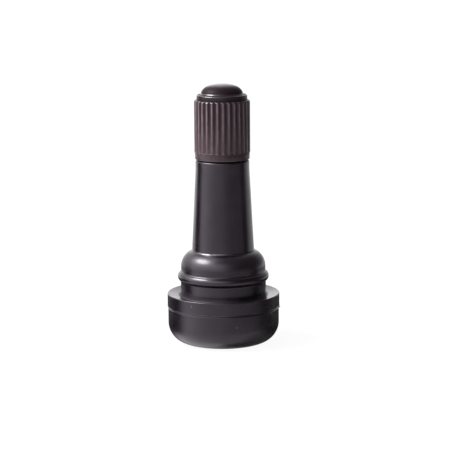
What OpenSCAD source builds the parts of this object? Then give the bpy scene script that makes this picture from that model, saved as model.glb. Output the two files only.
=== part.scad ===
// Snap-in tubeless tyre valve: a rubber body moulded on a turned brass stem,
// with a screw-in core and a ribbed screw cap.
// Millimetres. It stands on its base with the stem along +Z,
// and the origin is the centre of the base's underside.

/* [Base] */
// Diameter of the base flange
base_d = 19.44; // [18:0.02:23]
// Diameter of the groove that the wheel's hole closes on
groove_d = 14.76; // [13:0.1:17]
// Straight width of the groove, for the thickness of the wheel
groove_w = 2.08; // [1.5:0.02:4]
// Height of the base, up to the flange's sealing edge
base_h = 8.62; // [7.5:0.02:11]
// Radius of the rounded foot of the base
foot_r = 3.5; // [1:0.1:4]
// Radius of the flange's sealing edge
rim_r = 0.1; // [0.05:0.05:0.6]
// How far the flange's top face dips towards the groove
dish = 0.2; // [0:0.05:0.5]
// Height of the line where the two halves of the mould met
parting_h = 6.35; // [5:0.05:7]
// Step in radius at the parting line
parting_step = 0.1; // [0.05:0.05:0.3]
// Diameter of the air hole through the underside
air_hole_d = 4.8; // [4:0.1:6]
// Chamfer at the mouth of the air hole
air_hole_chamfer = 0.4; // [0.1:0.1:0.8]

/* [Retaining bulb] */
// How far the retaining bead stands out beyond the groove
bead_proud = 0.52; // [0.3:0.02:1]
// Radius of the bead's rounded section
bead_r = 0.87; // [0.7:0.01:1.2]
// Hollow radius between the groove and the bead
bead_cove_r = 0.2; // [0.1:0.05:0.5]
// How far the bulb lies inside the bead
bulb_drop = 0.59; // [0.3:0.01:1]
// Hollow radius between the bead and the bulb
bulb_cove_r = 0.3; // [0.1:0.05:0.6]
// Straight height of the bulb above the bead
bulb_wall_h = 0.73; // [0.2:0.01:2]
// Radius of the bulb's rounded shoulder
shoulder_r = 2.87; // [2.2:0.01:3.6]
// Hollow radius between the shoulder and the sleeve
shoulder_cove_r = 0.6; // [0.2:0.05:1]

/* [Sleeve] */
// Length of the sleeve above the bulb
sleeve_l = 15.37; // [13.5:0.01:22]
// Straight length at the sleeve's upper end
sleeve_straight_l = 1.45; // [0.6:0.05:3]
// Rubber outside the radius of the cap thread, at the sleeve's upper end
sleeve_cover = 0.8; // [0.4:0.05:1.2]
// How much the sleeve's radius grows down to the bulb
sleeve_taper = 0.7; // [0.2:0.05:1]
// Radius of the sleeve's upper edge
sleeve_edge_r = 0.25; // [0.1:0.05:0.5]

/* [Brass stem] */
// Length of stem above the sleeve
thread_l = 9.75; // [9.5:0.05:12]
// Wall between the cap thread and the core thread
stem_wall = 1.23; // [0.9:0.01:1.6]
// Step in from the cap thread to the moulded-in shank
shank_step = 0.5; // [0.3:0.05:0.7]
// Chamfer at the upper end of the cap thread
thread_chamfer = 0.5; // [0.3:0.05:0.7]
// Length of plain shank between the sleeve and the cap thread
thread_relief = 0.35; // [0.1:0.05:0.8]
// Countersink at the mouth of the core thread
mouth_chamfer = 0.3; // [0.1:0.05:0.4]
// Number of rings that anchor the shank in the rubber
anchor_count = 4; // [1:1:4]
// Pitch of the anchor rings
anchor_pitch = 2.6; // [1.8:0.1:3]
// Height of an anchor ring's crest
anchor_w = 0.7; // [0.3:0.1:0.8]
// How far an anchor ring stands out from the shank
anchor_proud = 0.3; // [0.1:0.05:0.4]
// From the sleeve's upper end down to the first anchor ring
anchor_drop = 2.5; // [1.5:0.1:4]
// Rubber under the stem's foot
stem_foot_h = 1.6; // [1:0.1:2.5]
// Thickness of the stem's foot
stem_foot_t = 1.5; // [1:0.1:2]
// How far the foot stands out from the shank
stem_foot_proud = 1.9; // [1:0.1:2.5]
// Edge chamfer of the foot
stem_foot_chamfer = 0.3; // [0.1:0.05:0.45]

/* [Core] */
// Diameter of the core's pin
pin_d = 1.0; // [0.8:0.05:1.3]
// How far the pin's tip lies below the stem's end
pin_recess = 0.2; // [0.1:0.05:0.6]
// Travel of the pin when it is pressed
pin_travel = 1.5; // [1:0.1:2]
// How far the pin's head and rivet stand out from the pin
pin_head_proud = 0.25; // [0.15:0.05:0.35]
// Thickness of the pin's head and rivet
pin_head_t = 0.5; // [0.3:0.05:0.7]
// Thickness of the collar that the spring pushes on
pin_collar_t = 0.5; // [0.3:0.05:0.8]
// Gap under the pin's head when it is pressed right down
head_gap = 0.2; // [0.1:0.05:0.4]
// Height of the bridge that the core tool turns
bridge_h = 1.4; // [1:0.1:2]
// Width of the bridge
bridge_w = 2.0; // [1.8:0.1:2.4]
// How deep the bridge is rooted in the plug
bridge_root = 0.6; // [0.3:0.1:0.9]
// Length of the threaded plug
plug_l = 3.0; // [2.4:0.1:4]
// Wall of the plug round the barrel's head
plug_wall = 0.57; // [0.4:0.01:0.7]
// Thickness of the lip that is rolled in under the barrel's head
plug_lip_t = 0.3; // [0.2:0.05:0.5]
// Wall of the core's barrel
barrel_wall = 0.5; // [0.4:0.02:0.6]
// How far the barrel's head stands out from the barrel
barrel_head_proud = 0.34; // [0.25:0.01:0.45]
// Thickness of the barrel's head
barrel_head_t = 0.7; // [0.4:0.05:0.9]
// Length of the barrel below its gasket
barrel_l = 5.0; // [4.6:0.1:7]
// Thickness of the barrel's floor
barrel_floor_t = 0.9; // [0.5:0.1:1.2]
// Height of the gasket round the barrel
gasket_h = 1.3; // [0.8:0.1:1.6]
// Depth of the barrel's groove for its gasket
gasket_groove = 0.2; // [0.1:0.05:0.3]
// Length of the conical seat above and below the gasket
seat_margin = 0.55; // [0.3:0.05:0.8]
// Length of core thread left below the plug
thread_tail = 0.6; // [0.2:0.1:1]
// Wire diameter of the spring
spring_wire_d = 0.26; // [0.2:0.02:0.32]
// Number of coils in the spring
spring_coils = 9; // [6:1:11]
// Length of the spring at rest
spring_l = 5.5; // [4.8:0.1:5.8]
// Thickness of the washer that seals the barrel
washer_t = 0.8; // [0.5:0.05:1.1]
// How far the cup's rim stays below the washer's face
cup_rim_drop = 0.25; // [0.15:0.05:0.35]
// Wall of the washer's cup
cup_wall = 0.15; // [0.1:0.01:0.2]
// Thickness of the cup's floor
cup_floor_t = 0.4; // [0.2:0.05:0.6]

/* [Cap] */
// Gap between the sleeve and the cap
cap_gap = 0.2; // [0.15:0.01:0.8]
// Wall of the cap at its ribs
cap_wall = 0.87; // [0.75:0.01:1.2]
// Height of the plain band at the cap's mouth
band_h = 1.16; // [0.8:0.02:2.5]
// How far the plain band lies inside the ribs
band_drop = 0.11; // [0.05:0.01:0.2]
// Edge radius of the plain band
band_edge_r = 0.15; // [0.05:0.05:0.3]
// Chamfer inside the cap's mouth
cap_mouth_chamfer = 0.3; // [0.1:0.05:0.45]
// Number of flutes between the ribs
flute_count = 30; // [20:2:34]
// Radius of a flute's section
flute_r = 0.32; // [0.25:0.01:0.36]
// Depth of a flute
flute_depth = 0.27; // [0.12:0.01:0.3]
// Plain foot left below the flutes
flute_foot = 0.12; // [0.05:0.01:0.4]
// Width of the ledge between the ribs' rounded upper edge and the step ring
rib_ledge = 0.06; // [0.02:0.02:0.2]
// Height of the step ring above the ribs
step_h = 0.88; // [0.6:0.01:1.3]
// How far the step ring lies inside the ribs
step_drop = 0.48; // [0.4:0.01:0.6]
// Edge radius of the step ring
step_edge_r = 0.2; // [0.05:0.05:0.3]
// Height of the dome
dome_h = 1.91; // [1.5:0.01:3]
// How far the dome lies inside the step ring
dome_drop = 0.54; // [0.3:0.01:0.8]
// Thickness of the dome
dome_wall = 1.2; // [0.8:0.05:1.5]
// Roof of the cap over its seal, up to the step ring's top
roof_t = 0.92; // [0.5:0.01:1.2]
// Thickness of the cap's seal
seal_t = 0.6; // [0.4:0.05:1]
// How far the seal lies inside the cap thread
seal_inset = 0.4; // [0.3:0.05:0.45]
// Diameter of the seal's hole
seal_hole_d = 3.2; // [2.4:0.1:4]

/* [Clearances] */
// Radial clearance of the two threads
thread_clear = 0.1; // [0.06:0.01:0.16]
// Radial clearance of the pieces that move inside the core
core_clear = 0.15; // [0.1:0.01:0.2]
// Clearance of pieces that sit in one another
seat_clear = 0.05; // [0.02:0.01:0.08]
// Radial air gap round the barrel and the cup
air_gap = 0.34; // [0.25:0.01:0.45]

/* [Hidden] */
$fn = 96;
// Steps in each rounded stretch of an outline
arc_steps = 10;
// Steps in the dome's outline
dome_steps = 18;
// Steps round one coil of the spring, and round its wire
coil_steps = 14;
wire_sides = 8;
// How far a cut runs past the face that it opens
over = 0.5;

// Radii, from the pin outwards
pin_r = pin_d / 2;
spring_r = pin_r + core_clear + spring_wire_d / 2;
collar_r = spring_r + spring_wire_d / 2;
barrel_bore_r = collar_r + core_clear;
barrel_r = barrel_bore_r + barrel_wall;
barrel_head_r = barrel_r + barrel_head_proud;
bore_r = barrel_r + air_gap;
socket_r = barrel_head_r + seat_clear;
plug_r = socket_r + plug_wall;
core_thread_r = plug_r + thread_clear;
thread_r = core_thread_r + stem_wall;
cap_bore_r = thread_r + thread_clear;
cap_r = cap_bore_r + cap_wall;
band_r = cap_r - band_drop;
step_r = cap_r - step_drop;
rib_edge_r = step_drop - rib_ledge;
dome_r = step_r - dome_drop;
seal_r = thread_r - seal_inset;
recess_r = seal_r + seat_clear;
pin_hole_r = pin_r + core_clear;
pin_head_r = pin_r + pin_head_proud;
gasket_r = barrel_r - gasket_groove;
washer_r = barrel_r - seat_clear;
cup_r = washer_r + cup_wall;
shank_r = thread_r - shank_step;
anchor_r = shank_r + anchor_proud;
stem_foot_r = shank_r + stem_foot_proud;
sleeve_top_r = thread_r + sleeve_cover;
sleeve_r = sleeve_top_r + sleeve_taper;
groove_r = groove_d / 2;
base_r = base_d / 2;
low_r = base_r - parting_step;
bead_out_r = groove_r + bead_proud;
bead_c_r = bead_out_r - bead_r;
bulb_r = bead_out_r - bulb_drop;
shoulder_c_r = bulb_r - shoulder_r;

// Heights of the rubber body, from the floor up
z_bead = base_h + groove_w + cove_rise(bead_c_r, bead_r, groove_r, bead_cove_r);
z_bulb_cove = z_bead + cove_rise(bead_c_r, bead_r, bulb_r, bulb_cove_r);
z_shoulder = z_bulb_cove + bulb_wall_h;
z_crease = z_shoulder + cove_rise(shoulder_c_r, shoulder_r, sleeve_r, shoulder_cove_r);
z_sleeve = z_crease + sleeve_l;
z_stem_foot_top = stem_foot_h + stem_foot_t;
z_thread = z_sleeve + thread_relief;
z_top = z_sleeve + thread_l;

// Heights of the core, from the stem's end down
z_pin_tip = z_top - pin_recess;
z_pin_head = z_pin_tip - pin_head_t;
z_bridge_top = z_pin_head - pin_travel - head_gap;
z_plug_top = z_bridge_top - bridge_h;
z_plug = z_plug_top - plug_l;
z_barrel_head = z_plug + plug_lip_t + seat_clear;
z_barrel_top = z_barrel_head + barrel_head_t;
z_socket = z_barrel_top + seat_clear;
z_seat_top = z_plug - thread_tail;
z_gasket_top = z_seat_top - seat_margin;
z_gasket = z_gasket_top - gasket_h;
z_seat = z_gasket - seat_margin;
z_barrel = z_gasket - barrel_l;
z_floor = z_barrel + barrel_floor_t;
z_collar = z_floor + spring_l + seat_clear;
z_washer = z_barrel - washer_t;
z_cup = z_washer - cup_floor_t;
z_rivet = z_cup - pin_head_t;

// Heights of the cap
z_cap = z_sleeve + cap_gap;
z_ribs = z_cap + band_h;
z_roof = z_top + seal_t;
z_step_top = z_roof + roof_t;
z_ribs_top = z_step_top - step_h;
z_cap_top = z_step_top + dome_h;
z_shoulder_in = z_top - thread_chamfer;
z_flute = z_ribs + flute_foot;

// Rise and angle of a hollow that joins a round section to an upright wall
function cove_rise(c_r, r, wall_r, cove_r) = sqrt(pow(r + cove_r, 2) - pow(wall_r + cove_r - c_r, 2));
function cove_angle(c_r, r, wall_r, cove_r) = acos((wall_r + cove_r - c_r) / (r + cove_r));

function arc(c, r, from, to) =
    [for (i = [0:arc_steps]) let (a = from + (to - from) * i / arc_steps) c + r * [cos(a), sin(a)]];

// Quarter of an ellipse from its widest point up to the axis
function dome_curve(r, h, z) =
    [for (i = [0:dome_steps]) let (a = 90 * i / dome_steps) [r * cos(a), z + h * sin(a)]];

// Radius of the conical seat at a height
function seat_at(z) = bore_r + (core_thread_r - bore_r) * (z - z_seat) / (z_seat_top - z_seat);

// Height of the spring's wire after a number of coils, with one closed coil at each end
function wire_rise(coils) =
    let (
        rise = spring_l - spring_wire_d,
        open_pitch = (rise - 2 * spring_wire_d) / (spring_coils - 2)
    )
    coils < 1 ? coils * spring_wire_d
    : coils > spring_coils - 1 ? rise - (spring_coils - coils) * spring_wire_d
    : spring_wire_d + (coils - 1) * open_pitch;

module stem_outline() {
    anchors = [
        for (i = [anchor_count - 1:-1:0])
            let (z = z_sleeve - anchor_drop - i * anchor_pitch)
            each [
                [shank_r, z - anchor_w / 2 - anchor_proud],
                [anchor_r, z - anchor_w / 2],
                [anchor_r, z + anchor_w / 2],
                [shank_r, z + anchor_w / 2 + anchor_proud]
            ]
    ];
    polygon(concat(
        [
            [0, stem_foot_h],
            [stem_foot_r - stem_foot_chamfer, stem_foot_h],
            [stem_foot_r, stem_foot_h + stem_foot_chamfer],
            [stem_foot_r, z_stem_foot_top - stem_foot_chamfer],
            [stem_foot_r - stem_foot_chamfer, z_stem_foot_top],
            [shank_r, z_stem_foot_top + stem_foot_proud - stem_foot_chamfer]
        ],
        anchors,
        [
            [shank_r, z_thread],
            [thread_r, z_thread + shank_step],
            [thread_r, z_top - thread_chamfer],
            [thread_r - thread_chamfer, z_top],
            [0, z_top]
        ]
    ));
}

module rubber_outline() {
    low_a = cove_angle(bead_c_r, bead_r, groove_r, bead_cove_r);
    high_a = cove_angle(bead_c_r, bead_r, bulb_r, bulb_cove_r);
    shoulder_a = cove_angle(shoulder_c_r, shoulder_r, sleeve_r, shoulder_cove_r);
    polygon(concat(
        [[0, 0]],
        arc([low_r - foot_r, foot_r], foot_r, -90, 0),
        [[low_r, parting_h], [base_r, parting_h]],
        arc([base_r - rim_r, base_h - rim_r], rim_r, 0, 90),
        [[groove_r, base_h - dish]],
        arc([groove_r + bead_cove_r, base_h + groove_w], bead_cove_r, 180, 180 - low_a),
        arc([bead_c_r, z_bead], bead_r, -low_a, high_a),
        arc([bulb_r + bulb_cove_r, z_bulb_cove], bulb_cove_r, 180 + high_a, 180),
        arc([shoulder_c_r, z_shoulder], shoulder_r, 0, shoulder_a),
        arc([sleeve_r + shoulder_cove_r, z_crease], shoulder_cove_r, 180 + shoulder_a, 180),
        [[sleeve_top_r, z_sleeve - sleeve_straight_l]],
        arc([sleeve_top_r - sleeve_edge_r, z_sleeve - sleeve_edge_r], sleeve_edge_r, 0, 90),
        [[0, z_sleeve]]
    ));
}

module rubber_body() {
    air_hole_r = air_hole_d / 2;
    color("#2d2a2e") rotate_extrude() difference() {
        rubber_outline();
        stem_outline();
        polygon([
            [0, -over],
            [air_hole_r + air_hole_chamfer + over, -over],
            [air_hole_r, air_hole_chamfer],
            [air_hole_r, stem_foot_h + over],
            [0, stem_foot_h + over]
        ]);
    }
}

module brass_stem() {
    color("#c9a14a") rotate_extrude() difference() {
        stem_outline();
        polygon([
            [0, stem_foot_h - over],
            [bore_r, stem_foot_h - over],
            [bore_r, z_seat],
            [core_thread_r, z_seat_top],
            [core_thread_r, z_top - mouth_chamfer],
            [core_thread_r + mouth_chamfer + over, z_top + over],
            [0, z_top + over]
        ]);
    }
}

module core_plug() {
    color("#d0ab57") difference() {
        union() {
            rotate_extrude() polygon([
                [barrel_r + seat_clear, z_plug],
                [plug_r, z_plug],
                [plug_r, z_plug_top],
                [barrel_r, z_plug_top],
                [barrel_r, z_socket],
                [socket_r, z_socket],
                [socket_r, z_plug + plug_lip_t],
                [barrel_r + seat_clear, z_plug + plug_lip_t]
            ]);
            intersection() {
                translate([-bridge_w / 2, -plug_r, z_plug_top - bridge_root])
                    cube([bridge_w, 2 * plug_r, bridge_h + bridge_root]);
                translate([0, 0, z_plug_top - bridge_root])
                    cylinder(r = socket_r, h = bridge_h + bridge_root);
            }
        }
        translate([0, 0, z_plug]) cylinder(r = pin_hole_r, h = z_top - z_plug);
    }
}

module core_barrel() {
    color("#c49a45") rotate_extrude() polygon([
        [pin_hole_r, z_barrel],
        [barrel_r, z_barrel],
        [barrel_r, z_gasket],
        [gasket_r, z_gasket],
        [gasket_r, z_gasket_top],
        [barrel_r, z_gasket_top],
        [barrel_r, z_barrel_head],
        [barrel_head_r, z_barrel_head],
        [barrel_head_r, z_barrel_top],
        [barrel_bore_r, z_barrel_top],
        [barrel_bore_r, z_floor],
        [pin_hole_r, z_floor]
    ]);
}

module barrel_gasket() {
    color("#e6dfcf") rotate_extrude() polygon([
        [gasket_r, z_gasket],
        [seat_at(z_gasket), z_gasket],
        [seat_at(z_gasket_top), z_gasket_top],
        [gasket_r, z_gasket_top]
    ]);
}

module core_pin() {
    tip_r = pin_head_t / 2;
    color("#d8b865") rotate_extrude() polygon(concat(
        [
            [0, z_rivet],
            [pin_head_r, z_rivet],
            [pin_head_r, z_cup],
            [pin_r, z_cup],
            [pin_r, z_collar],
            [collar_r, z_collar],
            [collar_r, z_collar + pin_collar_t],
            [pin_r, z_collar + pin_collar_t],
            [pin_r, z_pin_head],
            [pin_head_r, z_pin_head]
        ],
        arc([pin_head_r - tip_r, z_pin_tip - tip_r], tip_r, 0, 90),
        [[0, z_pin_tip]]
    ));
}

module core_spring() {
    rings = spring_coils * coil_steps;
    wire_r = spring_wire_d / 2;
    points = [
        for (j = [0:rings], k = [0:wire_sides - 1])
            let (
                turn = 360 * j / coil_steps,
                round = 360 * k / wire_sides,
                r = spring_r + wire_r * cos(round),
                z = z_floor + wire_r + wire_rise(j / coil_steps) + wire_r * sin(round)
            )
            [r * cos(turn), r * sin(turn), z]
    ];
    skin = [
        for (j = [0:rings - 1], k = [0:wire_sides - 1])
            let (next = (k + 1) % wire_sides)
            [
                j * wire_sides + k,
                j * wire_sides + next,
                (j + 1) * wire_sides + next,
                (j + 1) * wire_sides + k
            ]
    ];
    ends = [
        [for (k = [wire_sides - 1:-1:0]) k],
        [for (k = [0:wire_sides - 1]) rings * wire_sides + k]
    ];
    color("#b9bcc0") polyhedron(points, concat(skin, ends));
}

module seal_cup() {
    color("#caa24d") rotate_extrude() polygon([
        [pin_r, z_cup],
        [cup_r, z_cup],
        [cup_r, z_barrel - cup_rim_drop],
        [washer_r, z_barrel - cup_rim_drop],
        [washer_r, z_washer],
        [pin_r, z_washer]
    ]);
}

module seat_washer() {
    color("#1d1b1c") rotate_extrude() polygon([
        [pin_r, z_washer],
        [washer_r, z_washer],
        [washer_r, z_barrel],
        [pin_r, z_barrel]
    ]);
}

module cap_seal() {
    color("#242123") rotate_extrude() polygon([
        [seal_hole_d / 2, z_top],
        [seal_r, z_top],
        [seal_r, z_roof],
        [seal_hole_d / 2, z_roof]
    ]);
}

module cap_outline() {
    polygon(concat(
        [[0, z_cap]],
        arc([band_r - band_edge_r, z_cap + band_edge_r], band_edge_r, -90, 0),
        [
            [band_r, z_ribs],
            [cap_r, z_ribs]
        ],
        arc([cap_r - rib_edge_r, z_ribs_top - rib_edge_r], rib_edge_r, 0, 90),
        [[step_r, z_ribs_top]],
        arc([step_r - step_edge_r, z_step_top - step_edge_r], step_edge_r, 0, 90),
        dome_curve(dome_r, dome_h, z_step_top)
    ));
}

module cap_hollow() {
    polygon(concat(
        [
            [0, z_cap - over],
            [cap_bore_r + cap_mouth_chamfer + over, z_cap - over],
            [cap_bore_r, z_cap + cap_mouth_chamfer],
            [cap_bore_r, z_shoulder_in],
            [recess_r, z_shoulder_in + cap_bore_r - recess_r],
            [recess_r, z_roof]
        ],
        dome_curve(dome_r - dome_wall, z_cap_top - dome_wall - z_roof, z_roof)
    ));
}

// A flute runs out through the ribs' rounded upper edge
module flute() {
    translate([cap_r + flute_r - flute_depth, 0, z_flute])
        cylinder(r = flute_r, h = z_ribs_top + over - z_flute, $fn = 32);
}

module screw_cap() {
    color("#463d41") difference() {
        rotate_extrude() difference() {
            cap_outline();
            cap_hollow();
        }
        for (i = [0:flute_count - 1]) rotate([0, 0, 360 * i / flute_count]) flute();
    }
}

rubber_body();
brass_stem();
core_plug();
core_barrel();
barrel_gasket();
core_pin();
core_spring();
seal_cup();
seat_washer();
cap_seal();
screw_cap();
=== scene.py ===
import bpy
import math
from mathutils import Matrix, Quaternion, Vector, noise


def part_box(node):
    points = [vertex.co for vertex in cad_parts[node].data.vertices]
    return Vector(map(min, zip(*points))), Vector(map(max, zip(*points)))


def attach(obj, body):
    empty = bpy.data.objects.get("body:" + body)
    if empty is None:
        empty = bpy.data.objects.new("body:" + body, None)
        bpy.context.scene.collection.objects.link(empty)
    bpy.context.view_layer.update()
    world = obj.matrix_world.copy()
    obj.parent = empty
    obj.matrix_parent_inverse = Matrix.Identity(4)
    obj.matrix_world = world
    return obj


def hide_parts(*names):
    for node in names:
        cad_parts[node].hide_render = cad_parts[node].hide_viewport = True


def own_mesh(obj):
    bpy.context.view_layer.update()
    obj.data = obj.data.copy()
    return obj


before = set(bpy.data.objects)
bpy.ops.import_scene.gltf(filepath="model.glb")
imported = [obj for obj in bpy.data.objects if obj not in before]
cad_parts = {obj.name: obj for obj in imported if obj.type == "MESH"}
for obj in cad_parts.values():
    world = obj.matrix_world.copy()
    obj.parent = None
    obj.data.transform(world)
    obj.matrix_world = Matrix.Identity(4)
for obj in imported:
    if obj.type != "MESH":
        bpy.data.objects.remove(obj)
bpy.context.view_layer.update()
scene = bpy.context.scene
mm = 0.001
fullTurn = 2 * math.pi
toDegrees = 360 / fullTurn
tiny = 1e-6
print("frame loaded,", len(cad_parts), "nodes")


# shader sums: a wire is a socket that can be added, multiplied and so on
class Wire:
    def __init__(self, sheet, socket):
        self.sheet = sheet
        self.socket = socket

    def maths(self, operation, first, second):
        return self.sheet.node("ShaderNodeMath", {"operation": operation}, {0: first, 1: second})

    def __add__(self, other):
        return self.maths("ADD", self, other)

    def __radd__(self, other):
        return self.maths("ADD", other, self)

    def __sub__(self, other):
        return self.maths("SUBTRACT", self, other)

    def __rsub__(self, other):
        return self.maths("SUBTRACT", other, self)

    def __mul__(self, other):
        return self.maths("MULTIPLY", self, other)

    def __rmul__(self, other):
        return self.maths("MULTIPLY", other, self)

    def __truediv__(self, other):
        return self.maths("DIVIDE", self, other)

    def __rtruediv__(self, other):
        return self.maths("DIVIDE", other, self)


# the node sheet of a material or of the world
class Sheet:
    def __init__(self, holder):
        holder.use_nodes = True
        self.holder = holder
        self.tree = holder.node_tree

    def fill(self, made, sockets):
        for key, value in sockets.items():
            if isinstance(value, Wire):
                self.tree.links.new(value.socket, made.inputs[key])
            else:
                made.inputs[key].default_value = value

    def node(self, kind, settings=None, sockets=None, out=0):
        made = self.tree.nodes.new(kind)
        for key, value in (settings or {}).items():
            if key == "stops":
                ramp = made.color_ramp.elements
                while len(ramp) < len(value):
                    ramp.new(0.5)
                for element, (place, grey) in zip(ramp, value):
                    element.position = place
                    element.color = (grey, grey, grey, 1)
            else:
                setattr(made, key, value)
        self.fill(made, sockets or {})
        return Wire(self, made.outputs[out])

    def split(self, vector):
        made = self.node("ShaderNodeSeparateXYZ", None, {0: vector}).socket.node
        return [Wire(self, made.outputs[axis]) for axis in range(3)]

    # where a point lies in its own piece, in millimetres
    def spot(self):
        place = self.node("ShaderNodeTexCoord", out="Object")
        return self.node("ShaderNodeVectorMath", {"operation": "SCALE"}, {0: place, "Scale": 1 / mm})

    def stretched(self, spot, factors):
        return self.node("ShaderNodeVectorMath", {"operation": "MULTIPLY"}, {0: spot, 1: factors})

    # a value painted on the points of a mesh
    def painted(self, name):
        return self.node("ShaderNodeAttribute", {"attribute_name": name}, out="Fac")

    def cloud(self, spot, scale, detail=3.0, rough=0.55):
        sockets = {"Vector": spot, "Scale": scale, "Detail": detail, "Roughness": rough}
        return self.node("ShaderNodeTexNoise", None, sockets)

    def cells(self, spot, scale):
        return self.node("ShaderNodeTexVoronoi", None, {"Vector": spot, "Scale": scale})

    # 0 below low, 1 above high, eased between
    def eased(self, value, low, high):
        sockets = {"Value": value, "From Min": low, "From Max": high}
        return self.node("ShaderNodeMapRange", {"interpolation_type": "SMOOTHSTEP"}, sockets)

    def mixed(self, share, first, second):
        sockets = {0: share, 6: first, 7: second}
        return self.node("ShaderNodeMix", {"data_type": "RGBA"}, sockets, out=2)

    # relief of a height, depth in millimetres
    def grain(self, height, depth):
        sockets = {"Height": height, "Distance": depth * mm, "Strength": 1.0}
        return self.node("ShaderNodeBump", None, sockets)

    def surface(self, sockets):
        self.fill(self.tree.nodes["Principled BSDF"], sockets)
        return self.holder


def colour(red, green, blue):
    return (red, green, blue, 1.0)


# outlines are lists of (radius, height) in millimetres, run anticlockwise
def arc(r, z, radius, start, end, steps):
    angles = [math.radians(start + (end - start) * k / steps) for k in range(steps + 1)]
    return [(r + radius * math.cos(a), z + radius * math.sin(a)) for a in angles]


# splits the sides of an outline that are longer than wanted
def fine(points, longest):
    made = [points[0]]
    for (r0, z0), (r1, z1) in zip(points, points[1:]):
        count = max(1, math.ceil(math.hypot(r1 - r0, z1 - z0) / longest))
        made += [(r0 + (r1 - r0) * k / count, z0 + (z1 - z0) * k / count) for k in range(1, count + 1)]
    return made


# rounds the corners of an outline, by no more than a set share of a side
def rounded(points, radius, steps=3, mostShare=0.45):
    made = [points[0]]
    for before, corner, after in zip(points, points[1:], points[2:]):
        here = Vector(corner)
        ends = []
        for other in (before, after):
            way = Vector(other) - here
            ends.append(here + way * min(mostShare, radius / way.length))
        for k in range(steps + 1):
            t = k / steps
            p = ends[0] * (1 - t) ** 2 + here * 2 * t * (1 - t) + ends[1] * t ** 2
            made.append((p.x, p.y))
    return made + [points[-1]]


def eased(value, low, high):
    t = min(1.0, max(0.0, (value - low) / (high - low)))
    return t * t * (3 - 2 * t)


# a bump of height 1 at 0
def bump(off, wide):
    return math.exp(-(off / wide) ** 2)


# faces between two rings, which may differ in count by a whole factor
def bridged(low, high):
    if len(low) < len(high):
        return [face[::-1] for face in bridged(high, low)]
    if len(high) == 1:
        return [(low[k], low[(k + 1) % len(low)], high[0]) for k in range(len(low))]
    share = len(low) // len(high)
    faces = []
    for j in range(len(high)):
        foot = [low[(j * share + i) % len(low)] for i in range(share + 1)]
        faces.append((*foot, high[(j + 1) % len(high)], high[j]))
    return faces


# stretches are (outline, sides, shape); shape moves a point by its angle
def turned(stretches):
    verts, rings = [], []
    for points, sides, shape in stretches:
        for r, z in points:
            first = len(verts)
            count = sides if r > tiny else 1
            for k in range(count):
                a = fullTurn * k / count
                rr, zz = shape(r, z, a) if shape else (r, z)
                verts.append((rr * math.cos(a) * mm, rr * math.sin(a) * mm, zz * mm))
            rings.append(list(range(first, first + count)))
    pairs = list(zip(rings, rings[1:]))
    if len(rings[0]) > 1 and len(rings[-1]) > 1:
        pairs.append((rings[-1], rings[0]))
    faces = [face for low, high in pairs for face in bridged(low, high)]
    return verts, faces


def joined(*shapes):
    verts, faces = [], []
    for moreVerts, moreFaces in shapes:
        shift = len(verts)
        verts += moreVerts
        faces += [tuple(v + shift for v in face) for face in moreFaces]
    return verts, faces


def makePiece(name, shape, material, body, node, crease=35):
    mesh = bpy.data.meshes.new(name)
    mesh.from_pydata(shape[0], [], shape[1])
    mesh.shade_smooth()
    mesh.set_sharp_from_angle(angle=math.radians(crease))
    mesh.materials.append(material)
    obj = bpy.data.objects.new(name, mesh)
    scene.collection.objects.link(obj)
    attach(obj, body)
    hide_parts(node)
    print("made", name, len(mesh.polygons), "faces")
    return obj


# paints a value from 0 to 1 on each point of a piece
def paint(obj, name, valueAt):
    marks = obj.data.attributes.new(name, "FLOAT", "POINT")
    values = []
    for v in obj.data.vertices:
        r, a = math.hypot(v.co.x, v.co.y) / mm, math.atan2(v.co.y, v.co.x)
        values.append(valueAt(r, v.co.z / mm, a))
    marks.data.foreach_set("value", values)


def boxOf(node):
    low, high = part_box(node)
    return low / mm, high / mm


# flat shares of a thread's pitch
outerThread = {"crest": 0.06, "root": 0.1}
innerThread = {"crest": 0.14, "root": 0.02}


# a point's share of the way from a thread's crest (0) to its root (1), right-hand
def threadDepth(z, a, pitch, flats):
    off = abs((z / pitch - a / fullTurn) % 1 - 0.5)
    reach = 0.5 - flats["crest"]
    return min(1.0, max(0.0, (reach - off) / (reach - flats["root"])))


# direction of an azimuth and a rise in degrees; azimuth 0 is towards the camera, minus is left
def towards(turn, rise):
    a, b = math.radians(turn), math.radians(rise)
    return Vector((math.sin(a) * math.cos(b), -math.cos(a) * math.cos(b), math.sin(b)))


# camera, at the photograph's viewing angle
shot = {
    "place": (0.0, -0.33354, 0.07893),
    "aim": (0.00036, 0.0, 0.02045),
    "lens": 156.6,
    "sensor": 36,
    "near": 0.01,
    "lean": -0.455,  # degrees, so that the cap tips a little left
}
camera = bpy.data.objects.new("camera", bpy.data.cameras.new("camera"))
camera.data.lens = shot["lens"]
camera.data.sensor_width = shot["sensor"]
camera.data.clip_start = shot["near"]
camera.location = shot["place"]
view = Vector(shot["aim"]) - camera.location
lean = Quaternion((0, 0, 1), math.radians(shot["lean"]))
camera.rotation_mode = "QUATERNION"
camera.rotation_quaternion = view.to_track_quat("-Z", "Y") @ lean
scene.collection.objects.link(camera)
scene.camera = camera
print("camera set")


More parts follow.
